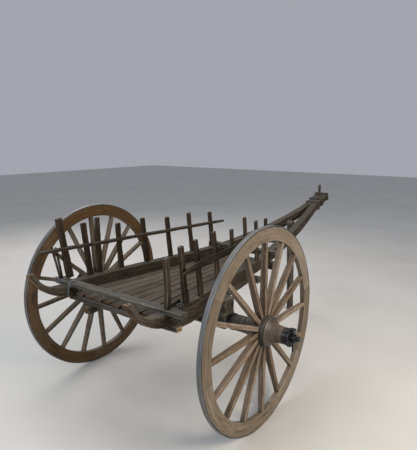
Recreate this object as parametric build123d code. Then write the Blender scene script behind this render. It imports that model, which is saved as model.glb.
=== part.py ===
from build123d import *
import math
import os

# A two-wheeled wooden bullock cart. X points forward to the nose, Y to the cart's left,
# Z up, all in millimetres. Below, X is measured from the axle. Each piece is then moved
# back by ORIGIN_X, so that the part's origin is on the ground under the middle of its length.

# Wheels
TYRE_RADIUS = 650.0
TYRE_THICK = 9.0
TYRE_WIDTH = 32.0
FELLOE_DEEP = 84.0
FELLOE_OUTER = TYRE_RADIUS - TYRE_THICK
FELLOE_INNER = FELLOE_OUTER - FELLOE_DEEP
FELLOE_WIDTH = 36.0
FELLOE_EDGE = 3.0
FELLOE_COUNT = 8
FELLOE_JOINT = 2.5
SPOKE_COUNT = 16
SPOKE_BEVEL = 5.0
SPOKE_SECTIONS = (
    # radius, across, along the axle
    (70.0, 29.0, 48.0),
    (185.0, 30.0, 45.0),
    (330.0, 28.0, 42.0),
    (FELLOE_INNER + 10, 27.0, FELLOE_WIDTH),
)
WHEEL_MID_Y = 775.0
RIGHT_PHASE = 0.0
LEFT_PHASE = -4.0
AXLE_Z = TYRE_RADIUS

# Hub, as offsets from the wheel's middle plane (outward is plus) and radii
HUB_BELLY = 96.0
HUB_IN = -222.0
HUB_OUT = 182.0
HUB_PROFILE = (
    # offset, radius
    (HUB_IN, 50.0),
    (HUB_IN + 38, 51.5),
    (HUB_IN + 112, 53.0),
    (-88.0, 58.0),
    (-66.0, 70.0),
    (-46.0, 88.0),
    (-32.0, HUB_BELLY - 1),
    (-27.0, HUB_BELLY),
    (27.0, HUB_BELLY),
    (45.0, 95.0),
    (48.0, 90.0),
    (52.0, 90.0),
    (55.0, 93.0),
    (61.0, 87.0),
    (70.0, 77.0),
    (82.0, 67.0),
    (94.0, 60.0),
    (110.0, 55.0),
    (HUB_OUT - 31, 51.0),
    (HUB_OUT, 47.0),
)
BAND_THICK = 6.0
NOSE_BAND = (HUB_OUT - 30, HUB_OUT - 3, 51.5)
HEEL_BAND = (HUB_IN + 2, HUB_IN + 14, 55.0)

# Axle
ARM_RADIUS = 25.0
ARM_FIT = 0.09
BOX_RADIUS = ARM_RADIUS + 6
AXLE_BAR = 48.0
CLIP_Y = 130.0
HEEL_Y = WHEEL_MID_Y + HUB_IN
COLLAR = (HEEL_Y - 19, HEEL_Y - 2, 44.0)
WASHER = (HUB_OUT + 1, HUB_OUT + 15, ARM_RADIUS + 33)
LINCHPIN = (12.0, 26.0)
LINCHPIN_OFFSET = HUB_OUT + 27
LINCHPIN_REACH = (-86.0, 44.0)
ARM_END = WHEEL_MID_Y + HUB_OUT + 48
TIP_LONG = 22.0
TIP_RADIUS = 14.0

# Frame heights, all from the axle's middle
BED_BOTTOM = AXLE_Z - 46
BED_TOP = AXLE_Z + 55
SHAFT_BOTTOM = BED_TOP + 65
SHAFT_DEEP = 92.0
SHAFT_TOP = SHAFT_BOTTOM + SHAFT_DEEP
CHEEK_TOP = SHAFT_BOTTOM + 28
NOSE_RISE = 363.0
NOSE_DEEP = 72.0
NOSE_BOTTOM = SHAFT_BOTTOM + NOSE_RISE
NOSE_TOP = NOSE_BOTTOM + NOSE_DEEP
TAIL_RISE = 210.0
TAIL_TIP_Z = SHAFT_BOTTOM + TAIL_RISE

# Shafts in plan
SHAFT_WIDTH = 70.0
SHAFT_Y = 435.0
TAIL_X = -825.0
TAIL_THICK = 45.0
TAIL_WIDTH = 26.0
TAIL_LOW_BEND = (88.0, 121.0)
TAIL_HIGH_BEND = (94.0, 72.0)
TAIL_LOW_RUN = 285.0
TAIL_HIGH_RUN = 185.0
TAIL_STEP = 8.0
TAPER_X = -600.0
BEND_X = -300.0
RISE_X = 600.0
MEET_X = 2350.0
NOSE_X = 2700.0
ORIGIN_X = (TAIL_X + NOSE_X) / 2
half_width = SHAFT_WIDTH / 2
CONVERGE = (SHAFT_Y - half_width) / (MEET_X - BEND_X)
ANGLE = math.degrees(math.atan(CONVERGE))

# Crossbars: x from, x to, z from, z to, half length
NOTCH = 20.0
REAR_UPPER = (-550.0, -480.0, SHAFT_TOP - NOTCH, SHAFT_TOP + 10, SHAFT_Y + 139)
REAR_LOWER = (-512.0, -456.0, SHAFT_BOTTOM - 37, SHAFT_BOTTOM, SHAFT_Y + 78)
REAR_LOWER_LEFT = SHAFT_Y + 20
MIDDLE = (572.0, 628.0, SHAFT_BOTTOM - 50, SHAFT_BOTTOM, SHAFT_Y - half_width - 5)
FRONT_UPPER = (940.0, 1000.0, SHAFT_TOP - 22, SHAFT_TOP + 30, SHAFT_Y - 90)
FRONT_LOWER = (940.0, 1000.0, SHAFT_BOTTOM - 40, SHAFT_BOTTOM + 25, SHAFT_Y - 110)
LEDGE = 25.0
SILL_OUT = 7.0
SILL_IN = 31.0
BOLSTER_HALF = 48.0
CHEEK_SLOT = (32.0, 41.0, 50.0)
CHEEK_SLOT_Z = (BED_TOP + 20, CHEEK_TOP - 21)
SLAT_THICK = 20.0
SLAT_REAR = -503.0
SLAT_COUNT = 9
SLAT_GAP = 9.0

# Racks, measured outward from the line of each shaft
RACK_OUT = 36.0
STAKE_THICK = 22.0
RAIL_THICK = 30.0
RAIL_WIDE = 40.0
RIGHT_RAIL_UP = SHAFT_TOP + 193
RIGHT_RAIL_DEEP = 28.0
LEFT_RAIL_UP = SHAFT_TOP + 210
LEFT_RAIL_DEEP = 24.0
RIGHT_STAKES = (
    # foot x, top over the shaft, foot width, top width, thickness, outer face, lean back in degrees
    (-509.0, 306.0, 36.0, 31.0, 20.0, 4.0, 1.6),
    (-371.0, 355.0, 40.0, 31.0, STAKE_THICK, RACK_OUT, 8.8),
    (-201.0, 362.0, 54.0, 28.0, 20.0, RACK_OUT, 10.5),
    (33.0, 370.0, 48.0, 37.0, STAKE_THICK, RACK_OUT, 11.0),
    (262.0, 338.0, 40.0, 34.0, STAKE_THICK, RACK_OUT, 6.0),
    (498.0, 388.0, 40.0, 34.0, STAKE_THICK, RACK_OUT, 8.0),
    (700.0, 328.0, 44.0, 38.0, STAKE_THICK, RACK_OUT, 7.0),
    (900.0, 314.0, 44.0, 38.0, STAKE_THICK, RACK_OUT, 6.0),
)
LEFT_STAKES = (
    (-537.0, 250.0, 26.0, 26.0, STAKE_THICK, RACK_OUT, 11.0),
    (-475.0, 428.0, 46.0, 38.0, STAKE_THICK, RACK_OUT, 8.2),
    (-320.0, 375.0, 44.0, 38.0, STAKE_THICK, RACK_OUT, 5.8),
    (-241.0, 400.0, 42.0, 38.0, STAKE_THICK, RACK_OUT, 1.0),
    (-60.0, 337.0, 44.0, 40.0, STAKE_THICK, RACK_OUT, 3.0),
    (180.0, 348.0, 46.0, 40.0, STAKE_THICK, RACK_OUT, 6.0),
    (420.0, 326.0, 44.0, 38.0, STAKE_THICK, RACK_OUT, 6.0),
    (660.0, 334.0, 42.0, 38.0, STAKE_THICK, RACK_OUT, 7.0),
    (900.0, 314.0, 44.0, 38.0, STAKE_THICK, RACK_OUT, 6.0),
)
# x from, x to, z from, z to, inner face, outer face
rail_in = RACK_OUT - STAKE_THICK
rail_out = RACK_OUT + RAIL_THICK
RIGHT_RAIL = (-455.0, 1010.0, RIGHT_RAIL_UP, RIGHT_RAIL_UP + RIGHT_RAIL_DEEP, RACK_OUT, rail_out)
LEFT_RAIL = (-700.0, 1010.0, LEFT_RAIL_UP, LEFT_RAIL_UP + LEFT_RAIL_DEEP, rail_in - RAIL_WIDE, rail_in)

# Front end
SPREADER_X = 1400.0
SPREADER_RADIUS = 20.0
YOKE_PIN_X = 2600.0
YOKE_PIN_RADIUS = 14.0
YOKE_PIN_FREE = 120.0
YOKE_PIN_SHANK = 17.0
YOKE_PIN_COLLAR = (26.0, 8.0)
BAND_PLACES = (2430.0, 2520.0, 2665.0)

# Prop
PROP_X = 1900.0
PROP_Z = SHAFT_BOTTOM + 176
PROP_FOOT_X = 1945.0
PROP_WIDTH = 56.0
PROP_PIN_RADIUS = 11.0
PROP_FIT = 0.09
PROP_SIDE_GAP = 1.5

# Chock log: x from, x to, y, radius
CHOCK = (-500.0, -300.0, 300.0, 44.0)
CHOCK_ROUND = 26.0

# Longer than any cut through the cart
FAR = 4000.0

os.makedirs("parts", exist_ok=True)


def export(node, solids):
    shapes = solids if isinstance(solids, (list, tuple)) else [solids]
    moved = []
    for shape in shapes:
        for solid in shape.solids():
            moved.append(Pos(-ORIGIN_X, 0, 0) * solid)
    export_step(Compound(moved), f"parts/{node}.step")


def block(x0, x1, y0, y1, z0, z1):
    size = Box(x1 - x0, y1 - y0, z1 - z0)
    return Pos((x0 + x1) / 2, (y0 + y1) / 2, (z0 + z1) / 2) * size


def plate(points, z0, z1):
    face = make_face(Polyline(*points, close=True))
    return Pos(0, 0, z0) * extrude(face, z1 - z0)


def rod_y(x, z, y0, y1, radius):
    rod = Rot(-90, 0, 0) * Cylinder(radius, y1 - y0)
    return Pos(x, (y0 + y1) / 2, z) * rod


def ring_y(inner, outer, y0, y1):
    return rod_y(0, 0, y0, y1, outer) - rod_y(0, 0, y0 - 1, y1 + 1, inner)


# Wheel pieces are made round Y at the origin with the outside to +Y, then placed
def at_wheel(side, phase, shape):
    turn = Rot(0, phase, 0) if side > 0 else Rot(0, 0, 180) * Rot(0, phase, 0)
    return Pos(0, side * WHEEL_MID_Y, AXLE_Z) * turn * shape


def make_tyre():
    half = TYRE_WIDTH / 2
    return ring_y(FELLOE_OUTER, TYRE_RADIUS, -half, half)


def make_felloes():
    half = FELLOE_WIDTH / 2
    ring = ring_y(FELLOE_INNER, FELLOE_OUTER, -half, half)
    ring = chamfer(ring.edges().filter_by(GeomType.CIRCLE), FELLOE_EDGE)
    for index in range(FELLOE_COUNT):
        angle = (index + 0.25) * 360 / FELLOE_COUNT
        saw = Box(FELLOE_JOINT, FELLOE_WIDTH + 4, FELLOE_DEEP + 20)
        middle = (FELLOE_INNER + FELLOE_OUTER) / 2
        ring = ring - Rot(0, angle, 0) * Pos(0, 0, middle) * saw
    return ring


def make_spokes():
    sections = []
    for radius, across, deep in SPOKE_SECTIONS:
        wide = across / 2
        thick = deep / 2
        bevel = SPOKE_BEVEL
        corners = (
            (-wide, bevel - thick),
            (bevel - wide, -thick),
            (wide - bevel, -thick),
            (wide, bevel - thick),
            (wide, thick - bevel),
            (wide - bevel, thick),
            (bevel - wide, thick),
            (-wide, thick - bevel),
        )
        sections.append(Pos(0, 0, radius) * make_face(Polyline(*corners, close=True)))
    spoke = loft(sections, ruled=True)
    spoke = spoke - rod_y(0, 0, -80, 80, HUB_BELLY)
    spoke = spoke & rod_y(0, 0, -80, 80, FELLOE_INNER)
    solids = []
    for index in range(SPOKE_COUNT):
        solids.append(Rot(0, index * 360 / SPOKE_COUNT, 0) * spoke)
    return solids


def make_hub():
    points = [(0, HUB_PROFILE[0][0])]
    for offset, radius in HUB_PROFILE:
        points.append((radius, offset))
    points.append((0, HUB_PROFILE[-1][0]))
    face = make_face(Polyline(*points, close=True))
    hub = revolve(face, Axis.Y)
    hub = hub - rod_y(0, 0, HUB_IN - 5, HUB_OUT + 5, BOX_RADIUS)
    for low, high, radius in (NOSE_BAND, HEEL_BAND):
        hub = hub - ring_y(radius - BAND_THICK, radius + 30, low, high)
    return hub


def make_hub_box():
    return ring_y(ARM_RADIUS + ARM_FIT, BOX_RADIUS, HUB_IN, HUB_OUT)


def make_hub_bands():
    bands = []
    for low, high, radius in (NOSE_BAND, HEEL_BAND):
        bands.append(ring_y(radius - BAND_THICK, radius, low, high))
    return bands


for name, side, phase in (("right", -1, RIGHT_PHASE), ("left", 1, LEFT_PHASE)):
    export(f"{name}_tyre", at_wheel(side, phase, make_tyre()))
    export(f"{name}_felloes", at_wheel(side, phase, make_felloes()))
    export(f"{name}_spokes", [at_wheel(side, phase, s) for s in make_spokes()])
    export(f"{name}_hub", at_wheel(side, phase, make_hub()))
    export(f"{name}_hub_box", at_wheel(side, phase, make_hub_box()))
    export(f"{name}_hub_bands", [at_wheel(side, phase, b) for b in make_hub_bands()])

# Axle: a square iron bar with round arms, collars, washers and linchpins
bar_half = AXLE_BAR / 2
axle = block(-bar_half, bar_half, -COLLAR[0], COLLAR[0], AXLE_Z - bar_half, AXLE_Z + bar_half)
washers = []
linchpins = []
for side in (-1, 1):
    low, high = sorted((side * COLLAR[0], side * COLLAR[1]))
    axle = axle + rod_y(0, AXLE_Z, low, high, COLLAR[2])
    low, high = sorted((side * (COLLAR[0] + 1), side * ARM_END))
    axle = axle + rod_y(0, AXLE_Z, low, high, ARM_RADIUS)
    low, high = sorted((side * (ARM_END - 4), side * (ARM_END + TIP_LONG)))
    axle = axle + rod_y(0, AXLE_Z, low, high, TIP_RADIUS)
    pin_y = side * (WHEEL_MID_Y + LINCHPIN_OFFSET)
    thick = LINCHPIN[0] / 2
    wide = LINCHPIN[1] / 2
    z_low = AXLE_Z + LINCHPIN_REACH[0]
    z_high = AXLE_Z + LINCHPIN_REACH[1]
    pin = block(-wide, wide, pin_y - thick, pin_y + thick, z_low, z_high)
    axle = axle - pin
    head = block(-wide - 5, wide + 5, pin_y - thick - 4, pin_y + thick + 4, z_high, z_high + 12)
    linchpins.append(pin + head)
    low, high = sorted((side * (WHEEL_MID_Y + WASHER[0]), side * (WHEEL_MID_Y + WASHER[1])))
    washer = rod_y(0, AXLE_Z, low, high, WASHER[2]) - rod_y(0, AXLE_Z, low - 1, high + 1, ARM_RADIUS)
    washers.append(washer)
export("axle", axle)
export("axle_washers", washers)
export("linchpins", linchpins)

# Wooden axle bed over the bar, with iron clips
bed_half = COLLAR[0] - 5
axle_bed = block(-55, 55, -bed_half, bed_half, BED_BOTTOM, BED_TOP)
bar_top = AXLE_Z + bar_half
axle_bed = axle_bed - block(-bar_half, bar_half, -bed_half - 9, bed_half + 9, BED_BOTTOM - 1, bar_top)
export("axle_bed", axle_bed)
clips = []
for y in (169 - bed_half, -CLIP_Y, CLIP_Y, bed_half - 169):
    outer = block(-61, 61, y - 18, y + 18, BED_BOTTOM - 6, BED_TOP - 4)
    inner = block(-55, 55, y - 20, y + 20, BED_BOTTOM, BED_TOP)
    clips.append(outer - inner)
export("axle_clips", clips)


# Shafts: a side outline and a plan outline, each swept square and intersected
def rise(start, end, x_end, x):
    run = x_end - RISE_X
    lift = end - start
    radius = (run * run + lift * lift) / (2 * lift)
    return start + radius - math.sqrt(radius * radius - (x - RISE_X) ** 2)


def shaft_bottom(x):
    return rise(SHAFT_BOTTOM, NOSE_BOTTOM, NOSE_X, x) if x > RISE_X else SHAFT_BOTTOM


def shaft_top(x):
    return rise(SHAFT_TOP, NOSE_TOP, NOSE_X, x) if x > RISE_X else SHAFT_TOP


def shaft_mid(x):
    return (shaft_bottom(x) + shaft_top(x)) / 2


def shaft_y(x):
    if x <= BEND_X:
        return SHAFT_Y
    if x >= MEET_X:
        return half_width
    return SHAFT_Y - CONVERGE * (x - BEND_X)


MID_RISE = (RISE_X + NOSE_X) / 2
bar_x0 = REAR_UPPER[0]
bar_x1 = REAR_UPPER[1]
tail_low = (TAIL_X, TAIL_TIP_Z)
tail_high = (TAIL_X + TAIL_THICK, TAIL_TIP_Z)
low_bend = (TAIL_X + TAIL_LOW_BEND[0], TAIL_TIP_Z - TAIL_LOW_BEND[1])
high_bend = (TAIL_X + TAIL_HIGH_BEND[0], TAIL_TIP_Z - TAIL_HIGH_BEND[1])
low_foot = (TAIL_X + TAIL_LOW_RUN, SHAFT_BOTTOM)
high_foot = (TAIL_X + TAIL_HIGH_RUN, SHAFT_TOP - TAIL_STEP)
side_outline = [
    ThreePointArc(tail_low, low_bend, low_foot),
    Line(low_foot, (RISE_X, SHAFT_BOTTOM)),
    ThreePointArc((RISE_X, SHAFT_BOTTOM), (MID_RISE, shaft_bottom(MID_RISE)), (NOSE_X, NOSE_BOTTOM)),
    Line((NOSE_X, NOSE_BOTTOM), (NOSE_X - 22, NOSE_TOP - 8)),
    ThreePointArc((NOSE_X - 22, NOSE_TOP - 8), (MID_RISE, shaft_top(MID_RISE)), (RISE_X, SHAFT_TOP)),
    Line((RISE_X, SHAFT_TOP), (bar_x1, SHAFT_TOP)),
    Line((bar_x1, SHAFT_TOP), (bar_x1, SHAFT_TOP - NOTCH)),
    Line((bar_x1, SHAFT_TOP - NOTCH), (bar_x0, SHAFT_TOP - NOTCH)),
    Line((bar_x0, SHAFT_TOP - NOTCH), high_foot),
    ThreePointArc(high_foot, high_bend, tail_high),
    Line(tail_high, tail_low),
]
side_sweep = extrude(Plane.XZ * make_face(side_outline), FAR, both=True)


def shaft_plan(side):
    stations = (
        (TAIL_X - 50, SHAFT_Y, TAIL_WIDTH / 2),
        (TAIL_X, SHAFT_Y, TAIL_WIDTH / 2),
        (TAPER_X, SHAFT_Y, half_width),
        (BEND_X, SHAFT_Y, half_width),
        (MEET_X, half_width, half_width),
        (NOSE_X + 100, half_width, half_width),
    )
    points = [(x, side * (y + half)) for x, y, half in stations]
    points += [(x, side * (y - half)) for x, y, half in reversed(stations)]
    return plate(points, SHAFT_BOTTOM - 100, NOSE_TOP + 100)


def seat_z(x):
    return shaft_mid(x) + (shaft_top(x) - shaft_bottom(x)) / 2 - 6


pin_seat = seat_z(YOKE_PIN_X)
yoke_hole = Pos(YOKE_PIN_X, 0, pin_seat) * Cylinder(YOKE_PIN_SHANK, FAR)
yoke_seat = Pos(YOKE_PIN_X, 0, pin_seat + FAR / 2) * Cylinder(YOKE_PIN_COLLAR[0], FAR)
front_upper_notch = block(FRONT_UPPER[0], FRONT_UPPER[1], -FAR, FAR, FRONT_UPPER[2], FAR)
front_lower_notch = block(FRONT_LOWER[0], FRONT_LOWER[1], -FAR, FAR, FRONT_LOWER[2], FRONT_LOWER[3])
spreader_hole = rod_y(SPREADER_X, shaft_mid(SPREADER_X), -FAR, FAR, SPREADER_RADIUS)
prop_hole = rod_y(PROP_X, PROP_Z, -FAR, FAR, PROP_PIN_RADIUS)
for name, side in (("right", -1), ("left", 1)):
    shaft = side_sweep & shaft_plan(side)
    shaft = shaft - yoke_hole - yoke_seat - front_upper_notch - front_lower_notch
    shaft = shaft - spreader_hole - prop_hole
    export(f"{name}_shaft", shaft)

# Bolster over the axle bed, with slotted cheeks that stand up outside the shafts
seat_points = []
for x, side in ((-1, -1), (1, -1), (1, 1), (-1, 1)):
    at = x * (BOLSTER_HALF + 5)
    seat_points.append((at, side * (shaft_y(at) + half_width)))
bolster = block(-BOLSTER_HALF, BOLSTER_HALF, -bed_half, bed_half, BED_TOP, CHEEK_TOP)
bolster = bolster - plate(seat_points, SHAFT_BOTTOM, CHEEK_TOP + 10)
slot_x0, slot_x1, slot_deep = CHEEK_SLOT
for side in (-1, 1):
    low, high = sorted((side * (bed_half - slot_deep), side * (bed_half + 5)))
    bolster = bolster - block(slot_x0, slot_x1, low, high, CHEEK_SLOT_Z[0], CHEEK_SLOT_Z[1])
export("bolster", bolster)

# Sills under the shafts, behind and before the bolster
sill_front = MIDDLE[0]
for name, side in (("right", -1), ("left", 1)):
    pieces = []
    for stations in ((REAR_LOWER[1], BEND_X, -BOLSTER_HALF), (BOLSTER_HALF, sill_front)):
        points = [(x, side * (shaft_y(x) + SILL_OUT)) for x in stations]
        points += [(x, side * (shaft_y(x) - SILL_IN)) for x in reversed(stations)]
        pieces.append(plate(points, BED_TOP, SHAFT_BOTTOM))
    export(f"{name}_sill", pieces)


# Crossbars
def crossbar(sizes):
    x0, x1, z0, z1, half = sizes
    return block(x0, x1, -half, half, z0, z1)


export("rear_upper_crossbar", crossbar(REAR_UPPER))
x0, x1, z0, z1, half = REAR_LOWER
export("rear_lower_crossbar", block(x0, x1, -half, REAR_LOWER_LEFT, z0, z1))
export("middle_crossbar", crossbar(MIDDLE))
export("front_upper_crossbar", crossbar(FRONT_UPPER))
ledge_half = shaft_y(FRONT_LOWER[0]) - half_width - 4
ledge = block(FRONT_LOWER[0] - LEDGE, FRONT_LOWER[0], -ledge_half, ledge_half, FRONT_LOWER[2], SHAFT_BOTTOM)
export("front_lower_crossbar", crossbar(FRONT_LOWER) + ledge)

# Floor slats fan between the shafts
slats = []
rear_width = SHAFT_Y - half_width - 6
front_width = shaft_y(FRONT_LOWER[0]) - half_width - 6
for index in range(SLAT_COUNT):
    low = index / SLAT_COUNT * 2 - 1
    high = (index + 1) / SLAT_COUNT * 2 - 1
    gap = SLAT_GAP / 2
    stagger = (0, 5, -4, 3, -6, 4, -2, 5, -3)[index]
    points = (
        (SLAT_REAR + stagger, low * rear_width + gap),
        (BEND_X, low * rear_width + gap),
        (FRONT_LOWER[0], low * front_width + gap / 2),
        (FRONT_LOWER[0], high * front_width - gap / 2),
        (BEND_X, high * rear_width - gap),
        (SLAT_REAR + stagger, high * rear_width - gap),
    )
    slats.append(plate(points, SHAFT_BOTTOM, SHAFT_BOTTOM + SLAT_THICK))
export("floor_slats", slats)


# Racks stand in the line of each shaft. Local x runs along the shaft from its bend.
cos_angle = math.cos(math.radians(ANGLE))


def at_side(side, shape):
    turn = Rot(0, 0, -side * ANGLE)
    return Pos(BEND_X, side * SHAFT_Y, 0) * turn * shape


def stake(side, foot_x, top_z, widths, faces, lean, low):
    length = top_z + 60 - low
    foot = widths[0] / 2
    head = widths[1] / 2
    outline = Polyline((-foot, -60), (foot, -60), (head, length - 60), (-head, length - 60), close=True)
    inner, outer = sorted((side * faces[0], side * faces[1]))
    pole = Pos(0, outer, 0) * extrude(Plane.XZ * make_face(outline), outer - inner)
    pole = Pos((foot_x - BEND_X) / cos_angle, 0, low) * Rot(0, -lean, 0) * pole
    return at_side(side, pole) - block(-FAR, FAR, -FAR, FAR, 0, low - 4) - side_sweep


for name, side, table in (("right", -1, RIGHT_STAKES), ("left", 1, LEFT_STAKES)):
    solids = []
    for foot_x, top_over, foot_wide, top_wide, thick, outer, lean in table:
        on_bar = foot_x - foot_wide / 2 < REAR_UPPER[1]
        low = REAR_UPPER[3] + 4 if on_bar else shaft_top(foot_x)
        faces = (outer - thick, outer)
        solids.append(stake(side, foot_x, SHAFT_TOP + top_over, (foot_wide, top_wide), faces, lean, low))
    export(f"{name}_stakes", solids)

for name, side, place in (("right", -1, RIGHT_RAIL), ("left", 1, LEFT_RAIL)):
    x0, x1, z0, z1, inner, outer = place
    low, high = sorted((side * inner, side * outer))
    rail = block((x0 - BEND_X) / cos_angle, (x1 - BEND_X) / cos_angle, low, high, z0, z1)
    export(f"{name}_top_rail", at_side(side, rail))

# Front end: spreader, iron bands and the yoke pin at the nose
spread = shaft_y(SPREADER_X) + half_width + 6
export("spreader_bar", rod_y(SPREADER_X, shaft_mid(SPREADER_X), -spread, spread, SPREADER_RADIUS))
bands = []
for x in BAND_PLACES:
    slope = math.degrees(math.atan2(shaft_mid(x + 20) - shaft_mid(x - 20), 40))
    deep = (shaft_top(x) - shaft_bottom(x)) * math.cos(math.radians(slope))
    outer = Box(34, 2 * SHAFT_WIDTH + 10, deep + 11)
    inner = Box(40, 2 * SHAFT_WIDTH, deep + 1)
    bands.append(Pos(x, 0, shaft_mid(x)) * Rot(0, -slope, 0) * (outer - inner))
export("nose_bands", bands)
collar_radius, collar_high = YOKE_PIN_COLLAR
pin_low = shaft_bottom(YOKE_PIN_X) - 24
free_low = pin_seat + collar_high
shank = Pos(YOKE_PIN_X, 0, (pin_low + pin_seat) / 2) * Cylinder(YOKE_PIN_SHANK, pin_seat - pin_low)
collar = Pos(YOKE_PIN_X, 0, pin_seat + collar_high / 2) * Cylinder(collar_radius, collar_high)
free = Pos(YOKE_PIN_X, 0, free_low + YOKE_PIN_FREE / 2) * Cylinder(YOKE_PIN_RADIUS, YOKE_PIN_FREE)
export("yoke_pin", shank + collar + free)

# Prop leg on a cross pin between the shafts
spread = shaft_y(PROP_X) + half_width + 8
export("prop_pin", rod_y(PROP_X, PROP_Z, -spread, spread, PROP_PIN_RADIUS))
spacers = []
for side in (-1, 1):
    inner_face = shaft_y(PROP_X + 17) - half_width - 0.2
    low, high = sorted((side * (PROP_WIDTH / 2 + PROP_SIDE_GAP), side * inner_face))
    sleeve = rod_y(PROP_X, PROP_Z, low, high, PROP_PIN_RADIUS + 6)
    spacers.append(sleeve - rod_y(PROP_X, PROP_Z, low - 1, high + 1, PROP_PIN_RADIUS))
export("prop_spacers", spacers)
foot_run = PROP_FOOT_X - PROP_X
tilt = math.degrees(math.atan2(foot_run, PROP_Z))
reach = math.hypot(foot_run, PROP_Z)
leg_face = make_face(Polyline((-34, 0), (-23, -reach - 20), (23, -reach - 20), (34, 0), close=True))
leg = extrude(Plane.XZ * leg_face, PROP_WIDTH / 2, both=True)
leg = leg + rod_y(0, 0, -PROP_WIDTH / 2, PROP_WIDTH / 2, 34)
leg = leg - rod_y(0, 0, -60, 60, PROP_PIN_RADIUS + PROP_FIT)
leg = Pos(PROP_X, 0, PROP_Z) * Rot(0, -tilt, 0) * leg
leg = leg - block(PROP_X - 200, PROP_FOOT_X + 200, -100, 100, -100, 0)
export("prop_leg", leg)

# Chock log slung under the rear crossbar
log_x0, log_x1, log_y, log_radius = CHOCK
log_z = REAR_LOWER[2] - log_radius
chock = Rot(0, 90, 0) * Cylinder(log_radius, log_x1 - log_x0)
chock = fillet(chock.edges().filter_by(GeomType.CIRCLE), CHOCK_ROUND)
export("chock_log", Pos((log_x0 + log_x1) / 2, log_y, log_z) * chock)
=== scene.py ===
import math
import random
import bmesh
import bpy
from mathutils import Matrix, Vector, noise


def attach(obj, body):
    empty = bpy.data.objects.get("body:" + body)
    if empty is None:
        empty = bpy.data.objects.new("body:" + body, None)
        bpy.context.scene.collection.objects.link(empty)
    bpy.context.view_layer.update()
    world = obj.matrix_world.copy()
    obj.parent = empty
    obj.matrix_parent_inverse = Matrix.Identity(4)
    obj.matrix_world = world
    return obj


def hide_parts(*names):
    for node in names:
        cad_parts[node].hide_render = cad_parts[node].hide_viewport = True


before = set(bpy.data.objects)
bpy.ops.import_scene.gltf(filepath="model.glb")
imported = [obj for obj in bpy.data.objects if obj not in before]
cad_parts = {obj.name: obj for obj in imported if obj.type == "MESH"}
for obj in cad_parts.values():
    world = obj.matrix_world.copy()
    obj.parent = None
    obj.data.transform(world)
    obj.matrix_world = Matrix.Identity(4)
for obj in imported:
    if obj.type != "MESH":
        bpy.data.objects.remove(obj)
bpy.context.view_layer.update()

# Drawing sizes in millimetres, measured from the axle, as in the solid model
FRONT = 937.5
AXLE_Z = 650.0
WHEEL_Y = 775.0
TYRE_R = 650.0
FELLOE_OUT = 641.0
FELLOE_IN = 557.0
FELLOES = 8
FELLOE_WIDE = 36.0
SPOKES = 16
SPOKE_ROOT = 88.0
SPOKE_TIP = 560.0
TYRE_THICK = 9.0
TYRE_WIDE = 31.2
TYRE_SINK = 5.6
HUB_BORE = 31.0
# Shafts: where they bend, meet and rise, the nose, and their section
BEND_X = -300.0
MEET_X = 2350.0
RISE_X = 600.0
NOSE_X = 2700.0
SHAFT_Y = 435.0
HALF = 35.0
BOTTOM = 770.0
TOP = 862.0
NOSE_LOW = 1133.0
NOSE_HIGH = 1205.0
CONVERGE = (SHAFT_Y - HALF) / (MEET_X - BEND_X)


def place(x, y, z):
    return Vector(((x - FRONT) / 1000, y / 1000, z / 1000))


# Camera at the photograph's viewing angle, with its focal length and the picture's height in pixels
CAMERA_AT = Vector((-2.3338 - FRONT / 1000, -2.0960, 1.8117))
CAMERA_WAY = Vector((0.78776, 0.58732, -0.18571))
FOCAL = 457.08
PICTURE_HIGH = 450.0
SENSOR = 36.0
forward = CAMERA_WAY.normalized()
right = forward.cross(Vector((0, 0, 1))).normalized()
up = right.cross(forward)
turn = Matrix((right, up, -forward)).transposed().to_4x4()
cam_data = bpy.data.cameras.new("photo_camera")
cam_data.sensor_width = SENSOR
cam_data.lens = FOCAL / PICTURE_HIGH * SENSOR
cam_data.clip_end = 100
camera = bpy.data.objects.new("photo_camera", cam_data)
camera.matrix_world = Matrix.Translation(CAMERA_AT) @ turn
bpy.context.collection.objects.link(camera)
bpy.context.scene.camera = camera
bpy.context.scene.view_settings.view_transform = "Standard"


# Shader helpers
def link(tree, a, b):
    tree.links.new(a, b)


def feed(tree, value, socket):
    """Give a socket a number or a colour, or link an output to it."""
    if isinstance(value, bpy.types.NodeSocket):
        link(tree, value, socket)
    elif isinstance(value, tuple):
        socket.default_value = (*value, 1)
    else:
        socket.default_value = value


def attribute(tree, name):
    made = tree.nodes.new("ShaderNodeAttribute")
    made.attribute_name = name
    return made.outputs["Vector"]


def separate(tree, vector):
    made = tree.nodes.new("ShaderNodeSeparateXYZ")
    link(tree, vector, made.inputs[0])
    return made.outputs


def noise_at(tree, vector, scale, detail=4.0, rough=0.6, bend=0.0, stretch=(1, 1, 1)):
    mapping = tree.nodes.new("ShaderNodeMapping")
    mapping.inputs["Scale"].default_value = stretch
    link(tree, vector, mapping.inputs["Vector"])
    made = tree.nodes.new("ShaderNodeTexNoise")
    feed(tree, scale, made.inputs["Scale"])
    made.inputs["Detail"].default_value = detail
    made.inputs["Roughness"].default_value = rough
    made.inputs["Distortion"].default_value = bend
    link(tree, mapping.outputs["Vector"], made.inputs["Vector"])
    return made.outputs["Fac"]


def span(tree, value, low, high, out_low=0.0, out_high=1.0):
    made = tree.nodes.new("ShaderNodeMapRange")
    made.inputs["From Min"].default_value = low
    made.inputs["From Max"].default_value = high
    feed(tree, out_low, made.inputs["To Min"])
    feed(tree, out_high, made.inputs["To Max"])
    link(tree, value, made.inputs["Value"])
    return made.outputs["Result"]


def sums(tree, kind, a, b=None):
    made = tree.nodes.new("ShaderNodeMath")
    made.operation = kind
    feed(tree, a, made.inputs[0])
    if b is not None:
        feed(tree, b, made.inputs[1])
    return made.outputs["Value"]


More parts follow.
